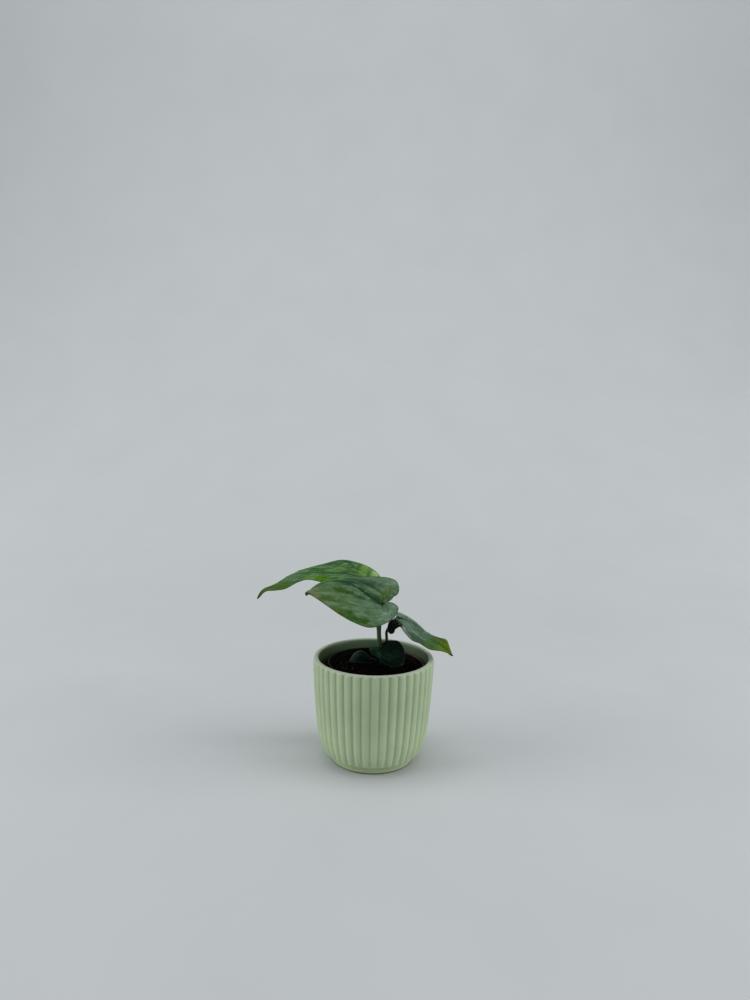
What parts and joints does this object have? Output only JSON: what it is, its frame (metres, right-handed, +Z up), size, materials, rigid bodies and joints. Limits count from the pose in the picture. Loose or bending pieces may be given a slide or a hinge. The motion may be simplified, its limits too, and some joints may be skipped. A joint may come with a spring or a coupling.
{
  "type": "potted monstera amydrium",
  "caption": "Young aroid house plant with quilted heart-shaped leaves, in a thin nursery pot inside a ribbed matt green ceramic pot.",
  "frame": {"origin": "centre of the ceramic pot's flat underside", "axes": "+Z up along the ceramic pot's axis, -Y towards the viewer, -X towards the tip of the long back leaf"},
  "size_m": [0.1251, 0.0806, 0.1169],
  "materials": {
    "glaze": "matt sage green glaze",
    "nursery_plastic": "thin dark plastic with a pale worn rim",
    "potting_mix": "dark moist potting mix with pale grains",
    "stem_green": "ringed green-brown crown",
    "stalk_green": "smooth pale green leaf stalks",
    "leaf_silver": "silvery quilted blade with dark green veins and olive patches",
    "leaf_green": "green blade with yellow-green patches",
    "leaf_dark": "deep green blade"
  },
  "bodies": {
    "root": {"pot": "glaze", "nursery_pot": "nursery_plastic", "soil": "potting_mix", "stem": "stem_green", "petiole_front": "stalk_green", "petiole_back": "stalk_green", "petiole_right": "stalk_green", "petiole_low": "stalk_green", "petiole_small": "stalk_green", "leaf_front": "leaf_silver", "leaf_back": "leaf_green", "leaf_right": "leaf_green", "leaf_low": "leaf_dark", "leaf_small": "leaf_dark"}
  },
  "joints": []
}
